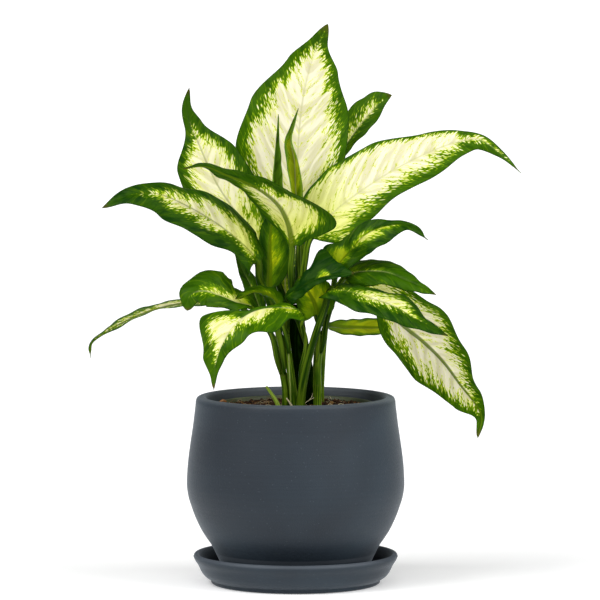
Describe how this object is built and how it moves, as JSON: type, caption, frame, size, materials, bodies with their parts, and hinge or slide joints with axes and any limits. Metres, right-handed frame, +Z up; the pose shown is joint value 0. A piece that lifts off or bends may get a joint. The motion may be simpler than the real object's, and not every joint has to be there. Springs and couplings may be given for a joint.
{
  "type": "potted plant",
  "caption": "Potted dieffenbachia: cream-centred green leaves on sheathed stems, in a nursery pot inside a bellied matte slate pot that stands on a matching round saucer",
  "frame": {"origin": "middle of the saucer's flat underside, on the axis of the pots", "axes": "+Z up along the axis of the pots; -Y is the front, the side the picture shows; +X to the right of that view"},
  "size_m": [0.3303, 0.213, 0.4236],
  "materials": {
    "slate_ceramic": "matte glaze",
    "nursery_plastic": "thin satin plastic",
    "potting_soil": "rough, moist, fibrous",
    "stem_green": "waxy, faintly ribbed",
    "leaf_variegated": "satin leaf, cream centre in a mottled green edge",
    "leaf_young": "satin rolled leaf",
    "shoot_green": "waxy"
  },
  "bodies": {
    "root": {"saucer": "slate_ceramic", "outer_pot": "slate_ceramic", "nursery_pot": "nursery_plastic", "soil": "potting_soil", "stem_left": "stem_green", "stem_front": "stem_green", "stem_main": "stem_green", "stem_right": "stem_green", "stem_back": "stem_green", "leaf_top": "leaf_variegated", "leaf_upper_left": "leaf_variegated", "leaf_arching": "leaf_variegated", "leaf_left": "leaf_variegated", "leaf_inner": "leaf_variegated", "leaf_spike": "leaf_young", "leaf_unfurling": "leaf_young", "leaf_right": "leaf_variegated", "leaf_back_right": "leaf_variegated", "leaf_right_mid": "leaf_variegated", "leaf_right_low": "leaf_variegated", "leaf_dark_front": "leaf_variegated", "leaf_hanging_small": "leaf_variegated", "leaf_right_front": "leaf_variegated", "leaf_right_hanging": "leaf_variegated", "leaf_back_low": "leaf_variegated", "leaf_front_left": "leaf_variegated", "leaf_left_mid": "leaf_variegated", "leaf_left_long": "leaf_variegated", "leaf_left_upright": "leaf_variegated", "leaf_curled": "leaf_variegated", "leaf_behind_inner": "leaf_variegated", "leaf_rear": "leaf_variegated", "leaf_rear_tall": "leaf_variegated", "broken_stub": "shoot_green"}
  },
  "joints": []
}
